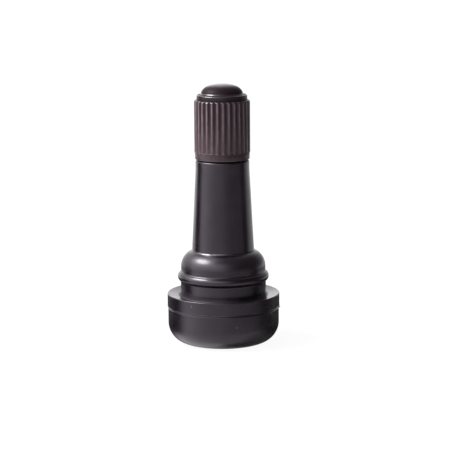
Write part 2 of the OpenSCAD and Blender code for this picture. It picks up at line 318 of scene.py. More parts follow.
# light: a pale studio, bright at the left and behind, dim at the right, with a broad soft key light
light = {
    # level all round at each rise in degrees, as (azimuth, level)
    "bands": [
        (-40, [
            (-180, 0.32), (-165, 0.97), (-150, 1.23), (-120, 1.4), (-90, 1.26),
            (-60, 1.05), (-30, 0.89), (0, 0.72), (45, 0.64), (60, 0.54),
            (75, 0.37), (90, 0.25), (120, 0.14), (160, 0.09), (180, 0.32),
        ]),
        (-20, [
            (-180, 0.09), (-120, 0.07), (-105, 0.2), (-92, 1.05), (-75, 1.08),
            (-60, 0.98), (-30, 0.77), (0, 0.63), (15, 0.57), (45, 0.51),
            (75, 0.51), (90, 0.25), (105, 0.1), (120, 0.03), (180, 0.05),
        ]),
        (-11.5, [
            (-180, 0.05), (-120, 0.03), (-100, 0.06), (-89, 0.7), (-79, 1.15),
            (-60, 1.05), (-30, 0.75), (0, 0.56), (15, 0.42), (30, 0.35),
            (60, 0.25), (75, 0.12), (90, 0.03), (105, 0.02), (180, 0.05),
        ]),
        (-8, [
            (-180, 1.47), (-136, 1.22), (-125, 0.03), (-103, 0.03), (-91, 1.16), (-75, 1.26),
            (-60, 0.98), (-45, 0.75), (-30, 0.56), (0, 0.43), (15, 0.36), (30, 0.33),
            (76, 0.3), (90, 0.06), (102, 0.13), (118, 0.69), (180, 1.1),
        ]),
        (-3, [
            (-180, 1.47), (-136, 1.15), (-124, 0.03), (-107, 0.03), (-94, 1.25), (-75, 1.26),
            (-60, 0.96), (-45, 0.78), (-30, 0.63), (0, 0.5), (15, 0.37), (30, 0.3),
            (76, 0.24), (90, 0.06), (102, 0.13), (118, 0.63), (180, 1.1),
        ]),
        (8, [
            (-180, 1.75), (-160, 1.3), (-135, 0.91), (-120, 0.63), (-105, 1.12), (-90, 1.7),
            (-60, 1.62), (-45, 1.32), (-15, 1.14), (0, 0.81), (15, 0.36), (30, 0.13),
            (45, 0.07), (105, 0.08), (135, 0.3), (150, 0.41), (165, 0.9), (180, 1.65),
        ]),
        (40, [
            (-180, 1.38), (-150, 0.6), (-120, 0.8), (-90, 2.46), (-60, 2.64), (-45, 2.46),
            (-30, 1.74), (-15, 1.5), (0, 0.96), (15, 0.42), (30, 0.18), (45, 0.06),
            (110, 0.05), (140, 0.18), (165, 0.6), (180, 1.29),
        ]),
        (66, [(-180, 0.6), (-125, 0.45), (-95, 0.16), (95, 0.1), (125, 0.3), (180, 0.6)]),
    ],
    "key": {"turn": -98, "rise": 52, "wide": 38, "level": 3.0},
    "lamp": {
        "turn": -84,
        "rise": 48,
        "far": 0.4,
        "wide": 0.26,
        "high": 0.17,
        "watts": 1.2,
        "aim": (0, 0, 0.022),
    },
}
studio = bpy.data.worlds.new("studio")
scene.world = studio
sky = Sheet(studio)
skyWay = sky.node("ShaderNodeTexCoord", out="Generated")
skyX, skyY, skyZ = sky.split(skyWay)
azimuth = sky.node("ShaderNodeMath", {"operation": "ARCTAN2"}, {0: skyX, 1: 0 - skyY}) / fullTurn + 0.5
rise = sky.node("ShaderNodeMath", {"operation": "ARCSINE"}, {0: skyZ}) * toDegrees


def skyBand(stops):
    spread = [(turn / 360 + 0.5, grey) for turn, grey in stops]
    return sky.node("ShaderNodeValToRGB", {"stops": spread}, {0: azimuth})


level = skyBand(light["bands"][0][1])
for (low, _), (high, stops) in zip(light["bands"], light["bands"][1:]):
    share = sky.eased(rise, low, high)
    level = level * (1 - share) + skyBand(stops) * share
key = light["key"]
keySockets = {0: skyWay, 1: towards(key["turn"], key["rise"])}
keyDot = sky.node("ShaderNodeVectorMath", {"operation": "DOT_PRODUCT"}, keySockets, out="Value")
keyOff = sky.node("ShaderNodeMath", {"operation": "ARCCOSINE"}, {0: keyDot}) * toDegrees
level = level + (1 - sky.eased(keyOff, 0, key["wide"])) * key["level"]
# the camera sees plain white
seen = sky.node("ShaderNodeLightPath", out="Is Camera Ray")
through = sky.node("ShaderNodeLightPath", out="Is Transmission Ray")
direct = sky.node("ShaderNodeMath", {"operation": "MAXIMUM"}, {0: seen, 1: through})
skySockets = {"Color": colour(1, 1, 1), "Strength": level * (1 - direct) + direct}
sky.fill(studio.node_tree.nodes["Background"], skySockets)

bright = light["lamp"]
reach = towards(bright["turn"], bright["rise"])
lamp = bpy.data.objects.new("keyLamp", bpy.data.lights.new("keyLamp", "AREA"))
lamp.data.shape = "ELLIPSE"
lamp.data.size = bright["wide"]
lamp.data.size_y = bright["high"]
lamp.data.energy = bright["watts"]
lamp.location = Vector(bright["aim"]) + reach * bright["far"]
lamp.rotation_mode = "QUATERNION"
lamp.rotation_quaternion = (-reach).to_track_quat("-Z", "Y")
lamp.visible_camera = False
scene.collection.objects.link(lamp)

# white paper under the valve
backdrop = {
    "half": 6.0,
    "paper": colour(0.92, 0.92, 0.92),
    "roughness": 0.9,
    "glow": 1.04,
    "glowShare": 0.9,  # the rest keeps the shadow
}
half = backdrop["half"]
floorCorners = [(-half, -half, 0), (half, -half, 0), (half, half, 0), (-half, half, 0)]
floorMesh = bpy.data.meshes.new("floor")
floorMesh.from_pydata(floorCorners, [], [(0, 1, 2, 3)])
floor = bpy.data.objects.new("floor", floorMesh)
scene.collection.objects.link(floor)
floor.visible_glossy = False
paper = Sheet(bpy.data.materials.new("floorPaper"))
paper.surface({"Base Color": backdrop["paper"], "Roughness": backdrop["roughness"]})
glow = paper.node("ShaderNodeEmission", None, {"Color": colour(1, 1, 1), "Strength": backdrop["glow"]})
seenFloor = paper.node("ShaderNodeLightPath", out="Is Camera Ray")
paperShader = Wire(paper, paper.tree.nodes["Principled BSDF"].outputs[0])
paperSockets = {0: seenFloor * backdrop["glowShare"], 1: paperShader, 2: glow}
paperMix = paper.node("ShaderNodeMixShader", None, paperSockets)
paper.fill(paper.tree.nodes["Material Output"], {"Surface": paperMix})
floorMesh.materials.append(paper.holder)
print("light and floor set")


# moulded rubber of the body: charcoal, with a faint bloom, fine grain and drag marks
rubberLook = {
    "clean": colour(0.0056, 0.0018, 0.0059),
    "bloomed": colour(0.0112, 0.0072, 0.0117),
    "fleck": colour(0.075, 0.068, 0.076),
    "sheen": colour(0.95, 0.88, 0.98),
    "roughness": 0.19,
    "dulled": 0.5,  # roughness added where it is dullest
    "ior": 1.7,
    "shineRoughness": 0.06,
    "shineIor": 2.0,
    "relief": 0.005,
}


def bodyRubber(look):
    sheet = Sheet(bpy.data.materials.new("bodyRubber"))
    spot = sheet.spot()
    bloom = sheet.eased(sheet.cloud(spot, 0.22, 4.0), 0.42, 0.68)
    speck = sheet.eased(sheet.cloud(spot, 2.6, 3.0), 0.58, 0.72)
    drag = sheet.cloud(sheet.stretched(spot, (0.5, 0.5, 7.0)), 1.0, 2.0)
    marks = sheet.eased(drag, 0.55, 0.75)
    tint = sheet.mixed(bloom * 0.6 + speck * 0.25, look["clean"], look["bloomed"])
    scuff = sheet.cells(sheet.stretched(spot, (1.0, 1.0, 0.45)), 0.62)
    flecks = (1 - sheet.eased(scuff, 0.03, 0.09)) * bloom
    tint = sheet.mixed(flecks * 0.8, tint, look["fleck"])
    dull = sheet.painted("dull") * (0.6 + bloom * 0.4) * look["dulled"]
    rough = look["roughness"] + bloom * 0.05 + marks * 0.04 + speck * 0.05 + flecks * 0.2
    grain = sheet.cloud(spot, 9.0, 3.0, 0.6)
    pits = sheet.eased(sheet.cells(spot, 2.2), 0.03, 0.16)
    height = grain * 0.5 + drag * 0.4 + pits * 0.5
    return sheet.surface({
        "Base Color": tint,
        "Roughness": rough + dull,
        "IOR": look["ior"],
        "Specular Tint": look["sheen"],
        "Coat Weight": sheet.painted("shine"),
        "Coat Roughness": look["shineRoughness"],
        "Coat IOR": look["shineIor"],
        "Normal": sheet.grain(height, look["relief"]),
    })


# brown-black moulded plastic of the cap, dulled and rubbed paler along the ribs, paler on one side as
# painted light, polished at its edges
capLook = {
    "moulded": colour(0.0155, 0.0083, 0.0118),
    "rubbedAndLit": colour(0.22, 0.152, 0.174),
    "sheen": colour(1.0, 0.82, 0.92),
    "specular": 0.1,
    "roughness": 0.38,
    "polished": 0.15,  # roughness taken off where it is polished
    "glossRoughness": 0.1,
    "glossIor": 2.0,
    "relief": 0.003,
}


def capPlastic(look):
    sheet = Sheet(bpy.data.materials.new("capPlastic"))
    spot = sheet.spot()
    worn = sheet.painted("worn")
    polish = sheet.painted("polish")
    cloudy = sheet.cloud(spot, 0.5, 3.0)
    rub = sheet.eased(sheet.cloud(sheet.stretched(spot, (1.0, 1.0, 0.3)), 2.4, 3.0), 0.35, 0.7)
    # pale share: wear on the rib crests, plus painted light that makes the wall paler on the side the key
    # light falls on
    pale = worn * (0.65 + rub * 0.35)
    peel = sheet.cloud(spot, 3.5, 2.0)
    return sheet.surface({
        "Base Color": sheet.mixed(pale, look["moulded"], look["rubbedAndLit"]),
        "Roughness": look["roughness"] + cloudy * 0.08 - polish * look["polished"],
        "Specular IOR Level": look["specular"],
        "Specular Tint": look["sheen"],
        "Coat Weight": polish * (0.8 + rub * 0.2),
        "Coat Roughness": look["glossRoughness"],
        "Coat IOR": look["glossIor"],
        "Normal": sheet.grain(peel, look["relief"]),
    })


# turned brass: lathe rings, duller and browner in the roots of its threads
stemLook = {"bright": colour(0.74, 0.52, 0.21), "brown": colour(0.42, 0.26, 0.09), "roughness": 0.24}
coreLook = {"bright": colour(0.78, 0.58, 0.26), "brown": colour(0.5, 0.33, 0.12), "roughness": 0.18}


def turnedBrass(name, look):
    sheet = Sheet(bpy.data.materials.new(name))
    spot = sheet.spot()
    groove = sheet.painted("groove")
    rings = sheet.cloud(sheet.stretched(spot, (0.15, 0.15, 24.0)), 1.0, 2.0)
    cloudy = sheet.eased(sheet.cloud(spot, 0.9, 4.0), 0.4, 0.7)
    return sheet.surface({
        "Base Color": sheet.mixed(cloudy * 0.35 + groove * 0.55, look["bright"], look["brown"]),
        "Metallic": 1.0,
        "Roughness": look["roughness"] + cloudy * 0.1 + groove * 0.14 + rings * 0.08,
        "Normal": sheet.grain(rings, 0.002),
    })


# soft ivory sealing plastic
def gasketPlastic():
    sheet = Sheet(bpy.data.materials.new("gasketPlastic"))
    spot = sheet.spot()
    cloudy = sheet.cloud(spot, 1.2, 4.0)
    return sheet.surface({
        "Base Color": sheet.mixed(cloudy, colour(0.82, 0.79, 0.7), colour(0.72, 0.67, 0.56)),
        "Roughness": 0.42 + cloudy * 0.16,
        "Normal": sheet.grain(sheet.cloud(spot, 8.0), 0.003),
    })


# drawn spring wire
def springSteel():
    sheet = Sheet(bpy.data.materials.new("springSteel"))
    spot = sheet.spot()
    drawn = sheet.cloud(sheet.stretched(spot, (2.0, 2.0, 18.0)), 1.0, 3.0)
    return sheet.surface({
        "Base Color": sheet.mixed(drawn, colour(0.66, 0.67, 0.69), colour(0.46, 0.46, 0.48)),
        "Metallic": 1.0,
        "Roughness": 0.2 + drawn * 0.2,
        "Normal": sheet.grain(drawn, 0.002),
    })


# dull black rubber of the seals
def sealRubber():
    sheet = Sheet(bpy.data.materials.new("sealRubber"))
    spot = sheet.spot()
    dust = sheet.eased(sheet.cloud(spot, 1.6, 4.0), 0.45, 0.75)
    return sheet.surface({
        "Base Color": sheet.mixed(dust * 0.5, colour(0.016, 0.015, 0.016), colour(0.05, 0.048, 0.05)),
        "Roughness": 0.55 + dust * 0.2,
        "Normal": sheet.grain(sheet.cloud(spot, 10.0), 0.004),
    })


rubberFinish = bodyRubber(rubberLook)
capFinish = capPlastic(capLook)
stemFinish = turnedBrass("stemBrass", stemLook)
coreFinish = turnedBrass("coreBrass", coreLook)
gasketFinish = gasketPlastic()
springFinish = springSteel()
sealFinish = sealRubber()
plainNodes = {
    "core_barrel": coreFinish,
    "seal_cup": coreFinish,
    "barrel_gasket": gasketFinish,
    "seat_washer": sealFinish,
}
for node, finish in plainNodes.items():
    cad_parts[node].material_slots[0].material = finish
print("finishes made")


# brass stem: the same outline is the cavity in the rubber
stem = {
    "low": boxOf("brass_stem")[0].z,
    "top": boxOf("brass_stem")[1].z,
    "footR": boxOf("brass_stem")[1].x,
    "footThick": 1.5,
    "footEdge": 0.3,
    "shankR": 3.35,
    "threadR": 3.85,
    "threadRoot": 3.42,
    "pitch": 25.4 / 32,
    "pitchRings": 14,  # rings of points in a pitch
    "relief": 0.35,
    "reliefStep": 0.02,
    "lead": 0.5,
    "brownFrom": 0.1,  # depth in the thread where the brass turns brown
    "brownTo": 0.42,
    "ringDrop": 2.5,
    "ringPitch": 2.6,
    "ringHigh": 0.7,
    "ringProud": 0.3,
    "rings": 4,
    "boreR": 1.9,
    "coreR": 2.62,
    "coreCrest": 2.3,
    "corePitch": 25.4 / 36,
    "coreRings": 12,
    "coreStart": 0.1,  # the inside thread grows from here above the seat
    "coreFull": 0.6,
    "seatLow": 9.8,    # below the top
    "seatHigh": 7.4,
    "mouth": 0.3,
    "edge": 0.06,
    "sides": 144,
}
sleeveTop = boxOf("rubber_body")[1].z
stemTop = stem["top"]
threadFoot = sleeveTop + stem["relief"]
seatTop = stemTop - stem["seatHigh"]


# outside of the stem from its foot up to the sleeve's end
def buriedStem():
    footR, footEdge, shankR = stem["footR"], stem["footEdge"], stem["shankR"]
    footTop = stem["low"] + stem["footThick"]
    points = [
        (footR - footEdge, stem["low"]),
        (footR, stem["low"] + footEdge),
        (footR, footTop - footEdge),
        (footR - footEdge, footTop),
        (shankR, footTop + footR - shankR - footEdge),
    ]
    ringHalf, proud = stem["ringHigh"] / 2, stem["ringProud"]
    for ring in reversed(range(stem["rings"])):
        z = sleeveTop - stem["ringDrop"] - ring * stem["ringPitch"]
        points += [
            (shankR, z - ringHalf - proud),
            (shankR + proud, z - ringHalf),
            (shankR + proud, z + ringHalf),
            (shankR, z + ringHalf + proud),
        ]
    return points


def stemThread(r, z, a):
    depth = threadDepth(z, a, stem["pitch"], outerThread)
    return min(r, stem["threadR"] + (stem["threadRoot"] - stem["threadR"]) * depth), z


# inside thread, which starts above the conical seat
def coreThread(r, z, a):
    depth = threadDepth(z, a, stem["corePitch"], innerThread)
    start = eased(z, seatTop + stem["coreStart"], seatTop + stem["coreFull"])
    return r - (stem["coreR"] - stem["coreCrest"]) * depth * start, z


def stemGroove(r, z, a):
    if r < stem["shankR"] + stem["reliefStep"] or z < threadFoot:
        return 0.0
    return eased(stem["threadR"] - r, stem["brownFrom"], stem["brownTo"])


outside = buriedStem() + [(stem["shankR"], threadFoot)]
threadOutline = fine([
    (stem["shankR"], threadFoot + stem["reliefStep"]),
    (stem["threadR"], threadFoot + stem["lead"]),
    (stem["threadR"], stemTop - stem["lead"]),
    (stem["threadR"] - stem["lead"], stemTop),
], stem["pitch"] / stem["pitchRings"])
inside = fine([
    (stem["coreR"], stemTop - stem["mouth"]),
    (stem["coreR"], seatTop),
], stem["corePitch"] / stem["coreRings"])
below = [(stem["boreR"], stemTop - stem["seatLow"]), (stem["boreR"], stem["low"])]
stemShape = turned([
    (rounded(outside, stem["edge"]), stem["sides"], None),
    (threadOutline, stem["sides"], stemThread),
    ([(stem["coreR"] + stem["mouth"], stemTop)], stem["sides"], None),
    (inside, stem["sides"], coreThread),
    (below, stem["sides"], None),
])
stemPiece = makePiece("stemTube", stemShape, stemFinish, "stem", "brass_stem")
paint(stemPiece, "groove", stemGroove)


# rubber body
rubber = {
    "baseR": boxOf("rubber_body")[1].x,
    "baseTop": 8.62,
    "footRound": 3.5,
    "rimRound": 0.14,
    "dish": 0.42,        # dip of the flange's top towards the groove
    "dishRings": (0.03, 0.06, 0.1, 0.6, 1.2, 1.5, 1.65, 1.8, 1.95),  # in from the rim
    "partingZ": 6.35,
    "partingStep": 0.1,
    "partingDeep": 0.1,  # fine groove under the parting line
    "flash": 0.04,       # how far the mould flash stands out at the parting line
    "flashReach": 0.4,   # in from the base's radius
    "flashRise": 0.02,
    "flashHigh": 0.05,
    "flashRagged": 9,
    "flashSeed": 0.3,
    "nubTurn": -2.0,     # degrees, where the flash was torn
    "nubWide": 1.5,
    "nubHigh": 0.16,
    "nubProud": 0.28,
    "nubRise": -0.3,
    "grooveR": 7.38,
    "grooveWide": 2.08,
    "grooveRound": 0.12,
    "beadProud": 0.52,
    "beadRound": 0.87,
    "beadCove": 0.2,
    "bulbDrop": 0.59,
    "bulbCove": 0.3,
    "bulbWall": 0.73,
    "shoulderRound": 2.87,
    "shoulderCove": 0.42,
    "sleeveTopR": 4.65,
    "sleeveTaper": 0.7,
    "sleeveStraight": 1.45,
    "sleeveEdge": 0.25,
    "lip": 0.25,         # film of rubber left round the shank
    "lipThick": 0.16,
    "lipRound": 0.1,
    "lipFoot": 0.08,
    "lipTaper": 0.04,
    "holeR": 2.4,
    "holeEdge": 0.4,
    "sides": 240,
}


# rise and angle of the hollow that joins a round section to an upright wall
def cove(sectionR, section, wallR, hollow):
    across = wallR + hollow - sectionR
    span = section + hollow
    return math.sqrt(span ** 2 - across ** 2), math.degrees(math.acos(across / span))


# wall of the base by its height over the parting line
def partingWall():
    baseR = rubber["baseR"]
    lowR = baseR - rubber["partingStep"]
    deepR = lowR - rubber["partingDeep"]
    wall = [(lowR, -1.2)] + [(lowR, -0.62 + 0.08 * k) for k in range(5)]
    wall += [(lowR - 0.015, -0.22), (lowR - 0.05, -0.15), (deepR, -0.1), (deepR, -0.05)]
    wall += [(lowR + 0.02, -0.02), (baseR, 0), (baseR + 0.01, 0.05)]
    wall += [(baseR, up) for up in (0.1, 0.14, 0.18)]
    wall += [(baseR, 0.26 + 0.08 * k) for k in range(6)]
    return [(r, rubber["partingZ"] + up) for r, up in wall]


def baseOutline():
    baseR, baseTop = rubber["baseR"], rubber["baseTop"]
    foot, rim = rubber["footRound"], rubber["rimRound"]
    points = [(rubber["holeR"] + rubber["holeEdge"], 0)]
    points += arc(baseR - rubber["partingStep"] - foot, foot, foot, -90, 0, 20)
    points += partingWall()
    points += [(baseR, baseTop - rim - 0.08), (baseR, baseTop - rim - 0.04)]
    slope = rubber["dish"] / (baseR - rim - rubber["grooveR"])
    points += arc(baseR - rim, baseTop - rim, rim, 0, 90 + math.degrees(math.atan(slope)), 10)
    topR, topZ = points[-1]
    return points + [(topR - inward, topZ - inward * slope) for inward in rubber["dishRings"]]


def bodyOutline():
    baseTop, grooveR, grooveWide = rubber["baseTop"], rubber["grooveR"], rubber["grooveWide"]
    corner = rubber["grooveRound"]
    points = baseOutline()
    points += arc(grooveR + corner, baseTop - rubber["dish"] + corner, corner, 270, 180, 4)
    points += [(grooveR, baseTop + grooveWide * k / 8) for k in range(1, 8)]
    grooveTop = baseTop + grooveWide

    bead, hollow = rubber["beadRound"], rubber["beadCove"]
    beadR = grooveR + rubber["beadProud"] - bead
    climb, low = cove(beadR, bead, grooveR, hollow)
    beadZ = grooveTop + climb
    points += arc(grooveR + hollow, grooveTop, hollow, 180, 180 - low, 5)

    bulbR = grooveR + rubber["beadProud"] - rubber["bulbDrop"]
    hollow = rubber["bulbCove"]
    climb, high = cove(beadR, bead, bulbR, hollow)
    points += arc(beadR, beadZ, bead, -low, high, 16)[1:]
    bulbZ = beadZ + climb
    points += arc(bulbR + hollow, bulbZ, hollow, 180 + high, 180, 5)[1:]

    shoulder, hollow = rubber["shoulderRound"], rubber["shoulderCove"]
    shoulderR = bulbR - shoulder
    shoulderZ = bulbZ + rubber["bulbWall"]
    sleeveR = rubber["sleeveTopR"] + rubber["sleeveTaper"]
    climb, bend = cove(shoulderR, shoulder, sleeveR, hollow)
    points += arc(shoulderR, shoulderZ, shoulder, 0, bend, 16)
    crease = shoulderZ + climb
    points += arc(sleeveR + hollow, crease, hollow, 180 + bend, 180, 12)[1:]

    topR, edge = rubber["sleeveTopR"], rubber["sleeveEdge"]
    points += fine([(sleeveR, crease), (topR, sleeveTop - rubber["sleeveStraight"])], 1.0)[1:]
    points += arc(topR - edge, sleeveTop - edge, edge, 0, 90, 6)
    lipR = stem["shankR"] + rubber["lipThick"]
    points += [(lipR + rubber["lipRound"], sleeveTop), (lipR, sleeveTop + rubber["lipFoot"])]
    return points + [(lipR - rubber["lipTaper"], sleeveTop + rubber["lip"])]


def flashLine(r, z, a):
    if r < rubber["baseR"] - rubber["flashReach"]:
        return r, z
    up = z - rubber["partingZ"]
    near = bump(up - rubber["flashRise"], rubber["flashHigh"])
    bits = rubber["flashRagged"]
    ragged = 0.5 + noise.noise(Vector((math.cos(a) * bits, math.sin(a) * bits, rubber["flashSeed"])))
    off = (math.degrees(a) - rubber["nubTurn"] + 180) % 360 - 180
    nub = bump(off, rubber["nubWide"]) * bump(up - rubber["nubRise"], rubber["nubHigh"])
    return r + near * ragged * rubber["flash"] + nub * rubber["nubProud"], z


# the rubber is dull with dirt at the foot of the groove, and satin on the shoulder
dulling = {
    "dirtLow": -0.2,   # over the flange's edge
    "dirtHigh": 0.1,
    "dirtNear": 0.1,   # out from the groove
    "dirtFar": 0.6,
    "satin": 0.25,
    "satinLow": 12.7,
    "satinHigh": 16.0,
    "lowFade": 0.6,
    "highFade": 0.4,
}


def bodyDull(r, z, a):
    low, high = dulling["satinLow"], dulling["satinHigh"]
    if z > low:
        rising = eased(z, low, low + dulling["lowFade"])
        return dulling["satin"] * rising * (1 - eased(z, high - dulling["highFade"], high))
    if r < stem["footR"] or z < rubber["footRound"]:
        return 0.0
    over = eased(z - rubber["baseTop"], dulling["dirtLow"], dulling["dirtHigh"])
    out = eased(r - rubber["grooveR"], dulling["dirtNear"], dulling["dirtFar"])
    return (1 - over) * (1 - out)


# shine in the crease above the shoulder, on the side where it is rubbed
shining = {
    "z": 16.15,
    "high": 0.12,
    "side": math.radians(-104),
    "sideNarrow": 4,
    "gap": math.radians(-112.5),
    "gapWide": math.radians(3.5),
}


def bodyShine(r, z, a):
    if r < rubber["sleeveTopR"]:
        return 0.0
    side = max(0.0, math.cos(a - shining["side"])) ** shining["sideNarrow"]
    gap = bump(a - shining["gap"], shining["gapWide"])
    return side * (1 - gap) * bump(z - shining["z"], shining["high"])


cavity = [(stem["shankR"], sleeveTop + rubber["lip"])] + buriedStem()[::-1]
hole = [(rubber["holeR"], stem["low"]), (rubber["holeR"], rubber["holeEdge"])]
bodyShape = turned([(bodyOutline(), rubber["sides"], flashLine), (cavity + hole, rubber["sides"], None)])
bodyPiece = makePiece("rubberBody", bodyShape, rubberFinish, "stem", "rubber_body", crease=50)
paint(bodyPiece, "dull", bodyDull)
paint(bodyPiece, "shine", bodyShine)


# screw cap
cap = {
    "mouth": boxOf("screw_cap")[0].z,
    "top": boxOf("screw_cap")[1].z,
    "ribR": 4.82,
    "bandR": 4.71,
    "bandHigh": 1.16,
    "bandEdge": 0.15,
    "bandLine": 0.03,   # fine line between the band and the ribs
    "flutes": 30,
    "fluteDeep": 0.27,
    "fluteFoot": 0.12,
    "fluteFade": 0.45,  # share of the depth lost towards the mouth
    "fluteTurn": math.radians(2.6),
    "fluteSoft": 0.02,
    "fluteStart": 0.05,
    "fluteFull": 0.1,
    "ribEdge": 0.42,
    "stepR": 4.34,
    "stepHigh": 0.88,
    "stepEdge": 0.2,
    "stepFillet": 0.05,
    "domeR": 3.62,
    "domeBulge": 2.1,   # 2 is an ellipse, more is squarer
    "domeFillet": 0.5,
    "filletOut": 0.425,
    "filletEnd": 18,    # degrees, slope where the fillet meets the dome
    "domeHigh": 1.91,
    "domeWall": 1.2,
    "boreR": 3.95,
    "threadCrest": 3.52,
    "threadRings": 12,
    "fadeLow": 1.6,     # the thread fades out below the stem's end
    "fadeHigh": 0.9,
    "mouthEdge": 0.3,
    "recessR": 3.5,
    "roof": boxOf("cap_seal")[1].z,
    "outerSides": 480,
    "innerSides": 120,
}
bandR, ribR, stepR, domeR = cap["bandR"], cap["ribR"], cap["stepR"], cap["domeR"]
stepTop = cap["top"] - cap["domeHigh"]
ribTop = stepTop - cap["stepHigh"]
ribFoot = cap["mouth"] + cap["bandHigh"]
fluteFoot = ribFoot + cap["fluteFoot"]


# flutes are soft waves that run out through the rounded upper edge of the ribs
def fluteDepth(z, a):
    wave = math.cos(cap["flutes"] * (a - cap["fluteTurn"]) / 2) ** 2
    fade = 1 - cap["fluteFade"] * (1 - eased(z, fluteFoot, ribTop))
    start = eased(z, fluteFoot - cap["fluteStart"], fluteFoot + cap["fluteFull"])
    return cap["fluteDeep"] * wave * fade * start


def fluted(r, z, a):
    if z < ribFoot or z > ribTop + tiny or r < stepR + cap["fluteSoft"]:
        return r, z
    over = r - (ribR - fluteDepth(z, a))
    return r - 0.5 * (over + math.hypot(over, cap["fluteSoft"])), z


def capThread(r, z, a):
    depth = threadDepth(z, a, stem["pitch"], innerThread)
    fade = 1 - eased(z, stemTop - cap["fadeLow"], stemTop - cap["fadeHigh"])
    full = cap["boreR"] + (cap["threadCrest"] - cap["boreR"]) * depth * fade
    lead = cap["boreR"] + cap["mouthEdge"] - (z - cap["mouth"])
    return max(full, lead), z


def ribCrest(a):
    return math.sin(cap["flutes"] * (a - cap["fluteTurn"]) / 2) ** 2


# pale wear on the rib crests, spreading over the whole wall towards the mouth, times painted light that
# makes the side towards the key light paler
wearAndLitSide = {
    "turn": math.radians(180),   # the side painted lighter, towards the key light
    "around": (0.5, 0.3, 0.2),   # painted light: everywhere, more on that side, more on both sides
    "mouth": 0.26,
    "mouthRibs": 0.14,
    "least": 0.04,
    "spread": 2.5,               # below the ribs' top
    "endLow": 0.45,
    "endHigh": 0.05,
}


def capWearAndLitSide(r, z, a):
    if z > ribTop or r < stepR:
        return 0.0
    towardsLight = math.cos(a - wearAndLitSide["turn"])
    even, one, both = wearAndLitSide["around"]
    # painted light: the wall and band are paler on the side the key light falls on, darker opposite
    side = even + one * towardsLight + both * towardsLight ** 2
    if z < ribFoot:
        return wearAndLitSide["mouth"] * side
    high = eased(z, fluteFoot, ribTop - wearAndLitSide["spread"])
    narrow = ribCrest(a) ** 3 * (1 - eased(z, ribTop - wearAndLitSide["endLow"], ribTop - wearAndLitSide["endHigh"]))
    wide = wearAndLitSide["mouth"] + wearAndLitSide["mouthRibs"] * ribCrest(a)
    return wearAndLitSide["least"] + side * (narrow * high + wide * (1 - high))


# gloss left on the moulding, most of it on the crown and on the edges that handling has polished
gloss = {
    "edges": [
        (domeR + 0.04, stepTop + 0.17),
        (stepR - 0.06, stepTop - 0.06),
        (ribR - 0.12, ribTop - 0.12),
        (bandR, cap["mouth"]),
    ],
    "edgeWide": math.sqrt(0.016),
    "wall": 0.08,
    "ribs": 0.45,
    "band": 0.125,
    "crown": 0.88,
    "crownLow": 0.75,   # below the top
    "crownHigh": 0.1,
}


def capPolish(r, z, a):
    near = max(bump(math.hypot(r - edgeR, z - edgeZ), gloss["edgeWide"]) for edgeR, edgeZ in gloss["edges"])
    if z > ribTop:
        plain = gloss["crown"] * eased(z, cap["top"] - gloss["crownLow"], cap["top"] - gloss["crownHigh"])
    elif ribFoot < z < ribTop:
        plain = gloss["wall"] + gloss["ribs"] * ribCrest(a) ** 2
    else:
        plain = gloss["band"]
    return plain + (1 - plain) * near


def domeCurve(r, high, foot, angles):
    power = 2 / cap["domeBulge"]
    turns = [math.radians(angle) for angle in angles]
    return [(r * abs(math.cos(t)) ** power, foot + high * math.sin(t) ** power) for t in turns]


bandEdge, ribEdge, stepEdge = cap["bandEdge"], cap["ribEdge"], cap["stepEdge"]
bandLine, stepFillet, domeFillet = cap["bandLine"], cap["stepFillet"], cap["domeFillet"]
capOutside = (
    arc(bandR - bandEdge, cap["mouth"] + bandEdge, bandEdge, -90, 0, 5)
    + [(bandR, ribFoot - 0.12), (bandR - bandLine, ribFoot - 0.05), (bandR, ribFoot - 0.01)]
    + [(ribR - bandLine, ribFoot), (ribR, ribFoot + bandLine)]
    + fine([(ribR, fluteFoot - 0.06), (ribR, fluteFoot + 0.12)], 0.03)  # close, where the flutes start
    + fine([(ribR, fluteFoot + 0.3), (ribR, ribTop - ribEdge - 0.1)], 0.8)
    + arc(ribR - ribEdge, ribTop - ribEdge, ribEdge, 0, 90, 20)
    + arc(stepR + stepFillet, ribTop + stepFillet, stepFillet, 270, 180, 3)
    + arc(stepR - stepEdge, stepTop - stepEdge, stepEdge, 0, 90, 6)
    + arc(domeR + cap["filletOut"], stepTop + domeFillet, domeFillet, 270, 180 + cap["filletEnd"], 12)
    + domeCurve(domeR, cap["domeHigh"], stepTop, range(12, 88, 4))
    + [(0, cap["top"])]
)
hollowHigh = cap["top"] - cap["domeWall"] - cap["roof"]
boreTop = stemTop - stem["lead"]
capInside = (
    [(0, cap["roof"] + hollowHigh)]
    + domeCurve(domeR - cap["domeWall"], hollowHigh, cap["roof"], range(80, -1, -10))
    + [(cap["recessR"], cap["roof"]), (cap["recessR"], boreTop + cap["boreR"] - cap["recessR"])]
)
capBore = fine([(cap["boreR"], boreTop), (cap["boreR"], cap["mouth"])], stem["pitch"] / cap["threadRings"])
outerSides, innerSides = cap["outerSides"], cap["innerSides"]
capOuter = turned([(capOutside, outerSides, fluted)])
capInner = turned([
    (capInside, innerSides, None),
    (capBore[:-1], innerSides, capThread),
    ([(cap["boreR"] + cap["mouthEdge"], cap["mouth"])], innerSides, None),
])
capVerts, capFaces = joined(capOuter, capInner)
rimOuter = list(range(outerSides))
rimInner = list(range(len(capVerts) - innerSides, len(capVerts)))
capFaces += [face[::-1] for face in bridged(rimOuter, rimInner)]
capShape = (capVerts, capFaces)
capPiece = makePiece("screwCap", capShape, capFinish, "cap", "screw_cap", crease=40)
paint(capPiece, "worn", capWearAndLitSide)
paint(capPiece, "polish", capPolish)


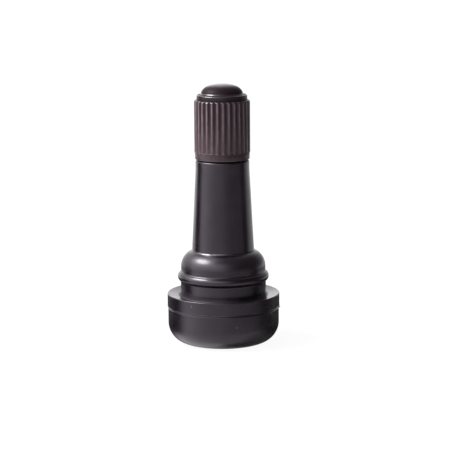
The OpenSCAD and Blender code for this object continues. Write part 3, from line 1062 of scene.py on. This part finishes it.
# cap seal, a soft ring with its edges rounded
seal = {
    "low": boxOf("cap_seal")[0].z,
    "high": boxOf("cap_seal")[1].z,
    "r": boxOf("cap_seal")[1].x,
    "holeR": 1.6,
    "edge": 0.12,
    "sides": 96,
}
sealMiddle = (seal["low"] + seal["high"]) / 2
sealRing = rounded([
    (seal["holeR"], sealMiddle),
    (seal["holeR"], seal["low"]),
    (seal["r"], seal["low"]),
    (seal["r"], seal["high"]),
    (seal["holeR"], seal["high"]),
    (seal["holeR"], sealMiddle),
], seal["edge"])
sealShape = turned([(sealRing[:-1], seal["sides"], None)])
makePiece("capSeal", sealShape, sealFinish, "cap_seal", "cap_seal")


# core plug: threaded ring with a flat bridge across its top
plug = {
    "low": boxOf("core_plug")[0].z,
    "bridgeTop": boxOf("core_plug")[1].z,
    "r": boxOf("core_plug")[1].x,
    "root": 2.2,
    "rootSlack": 0.02,
    "high": 3.0,
    "leadLow": 0.25,
    "leadHigh": 0.2,
    "brownFrom": 0.06,
    "brownTo": 0.3,
    "lip": 0.3,
    "lipR": 1.61,
    "innerR": 1.56,
    "innerEdge": 0.05,
    "rim": 0.3,
    "socketR": 1.95,
    "socketHigh": 1.1,
    "bridgeHalf": 1.0,
    "bridgeRoot": 0.6,
    "holeR": 0.65,
    "holeRim": 0.12,  # stays whole round the hole
    "edge": 0.08,
    "sides": 144,
}
plugLow = plug["low"]
plugTop = plugLow + plug["high"]


def plugThread(r, z, a):
    depth = threadDepth(z, a, stem["corePitch"], outerThread)
    return min(r, plug["r"] + (plug["root"] - plug["r"]) * depth), z


def bridgeSides(r, z, a):
    if r < plug["holeR"] + plug["holeRim"]:
        return r, z
    flat = (plug["bridgeHalf"] - (plug["socketR"] - r)) / max(tiny, abs(math.cos(a)))
    return min(r, flat), z


def plugGroove(r, z, a):
    if r < plug["root"] - plug["rootSlack"] or z > plugTop:
        return 0.0
    return eased(plug["r"] - r, plug["brownFrom"], plug["brownTo"])


plugOutside = fine([
    (plug["r"] - plug["leadLow"], plugLow),
    (plug["r"], plugLow + plug["leadLow"]),
    (plug["r"], plugTop - plug["leadHigh"]),
    (plug["r"] - plug["leadHigh"], plugTop),
], stem["corePitch"] / stem["coreRings"])
plugInside = rounded([
    (plug["innerR"] + plug["rim"], plugTop),
    (plug["innerR"], plugTop),
    (plug["innerR"], plugLow + plug["socketHigh"]),
    (plug["socketR"], plugLow + plug["socketHigh"]),
    (plug["socketR"], plugLow + plug["lip"]),
    (plug["lipR"], plugLow + plug["lip"]),
    (plug["lipR"], plugLow),
    (plug["innerR"] + plug["rim"], plugLow),
], plug["innerEdge"])
plugEdge, bridgeTop = plug["edge"], plug["bridgeTop"]
bridgeLow = plugTop - plug["bridgeRoot"]
bridgeOutline = (
    [(plug["holeR"], bridgeLow), (plug["socketR"], bridgeLow), (plug["socketR"], bridgeTop - plugEdge * 2)]
    + arc(plug["socketR"] - plugEdge, bridgeTop - plugEdge, plugEdge, 0, 90, 4)
    + arc(plug["holeR"] + plugEdge, bridgeTop - plugEdge, plugEdge, 90, 180, 3)
)
plugShape = joined(
    turned([(plugOutside, plug["sides"], plugThread), (plugInside, plug["sides"], None)]),
    turned([(bridgeOutline, plug["sides"], bridgeSides)]),
)
plugPiece = makePiece("corePlug", plugShape, coreFinish, "stem", "core_plug")
paint(plugPiece, "groove", plugGroove)


# core pin with its collar, round head and riveted end
pin = {
    "low": boxOf("core_pin")[0].z,
    "tip": boxOf("core_pin")[1].z,
    "collarR": boxOf("core_pin")[1].x,
    "r": 0.5,
    "headR": 0.75,
    "headHigh": 0.5,
    "headWall": 0.2,
    "headRound": 0.25,
    "rivetRound": 0.2,
    "collarLow": boxOf("core_spring")[1].z + 0.05,  # just over the spring
    "collarHigh": 0.5,
    "edge": 0.05,
    "sides": 64,
}
headR, headLow = pin["headR"], pin["tip"] - pin["headHigh"]
rivetTop = pin["low"] + pin["headHigh"]
collarTop = pin["collarLow"] + pin["collarHigh"]
pinOutline = rounded([
    (0, pin["low"]),
    (headR - pin["rivetRound"], pin["low"]),
    (headR, pin["low"] + pin["rivetRound"]),
    (headR, rivetTop),
    (pin["r"], rivetTop),
    (pin["r"], pin["collarLow"]),
    (pin["collarR"], pin["collarLow"]),
    (pin["collarR"], collarTop),
    (pin["r"], collarTop),
    (pin["r"], headLow),
    (headR, headLow),
    (headR, headLow + pin["headWall"]),
], pin["edge"])
pinOutline += arc(headR - pin["headRound"], pin["tip"] - pin["headRound"], pin["headRound"], 0, 90, 6)
pinShape = turned([(pinOutline + [(0, pin["tip"])], pin["sides"], None)])
makePiece("corePin", pinShape, coreFinish, "pin", "core_pin")


# spring: a round wire with one closed coil at each end
spring = {
    "low": boxOf("core_spring")[0].z,
    "high": boxOf("core_spring")[1].z,
    "wireR": 0.13,
    "coilR": 0.78,
    "coils": 9,
    "travel": 1.5,
    "stepsRound": 40,
    "sides": 12,
}
springLong = spring["high"] - spring["low"]


def wireHeight(coils):
    wide = 2 * spring["wireR"]
    climb = springLong - wide
    spread = (climb - 2 * wide) / (spring["coils"] - 2)
    if coils < 1:
        return coils * wide
    if coils > spring["coils"] - 1:
        return climb - (spring["coils"] - coils) * wide
    return wide + (coils - 1) * spread


def springWire():
    verts, faces = [], []
    sides, wireR = spring["sides"], spring["wireR"]
    rings = spring["coils"] * spring["stepsRound"]
    for j in range(rings + 1):
        coils = j / spring["stepsRound"]
        a = fullTurn * coils
        middle = spring["low"] + wireR + wireHeight(coils)
        for k in range(sides):
            b = fullTurn * k / sides
            r = spring["coilR"] + wireR * math.cos(b)
            z = middle + wireR * math.sin(b)
            verts.append((r * math.cos(a) * mm, r * math.sin(a) * mm, z * mm))
    for j in range(rings):
        base, ahead = j * sides, (j + 1) * sides
        for k in range(sides):
            n = (k + 1) % sides
            faces.append((base + k, base + n, ahead + n, ahead + k))
    faces.append(tuple(range(sides - 1, -1, -1)))
    faces.append(tuple(rings * sides + k for k in range(sides)))
    return verts, faces


springPiece = makePiece("coreSpring", springWire(), springFinish, "stem", "core_spring")
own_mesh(springPiece)

scene.view_settings.view_transform = "Standard"
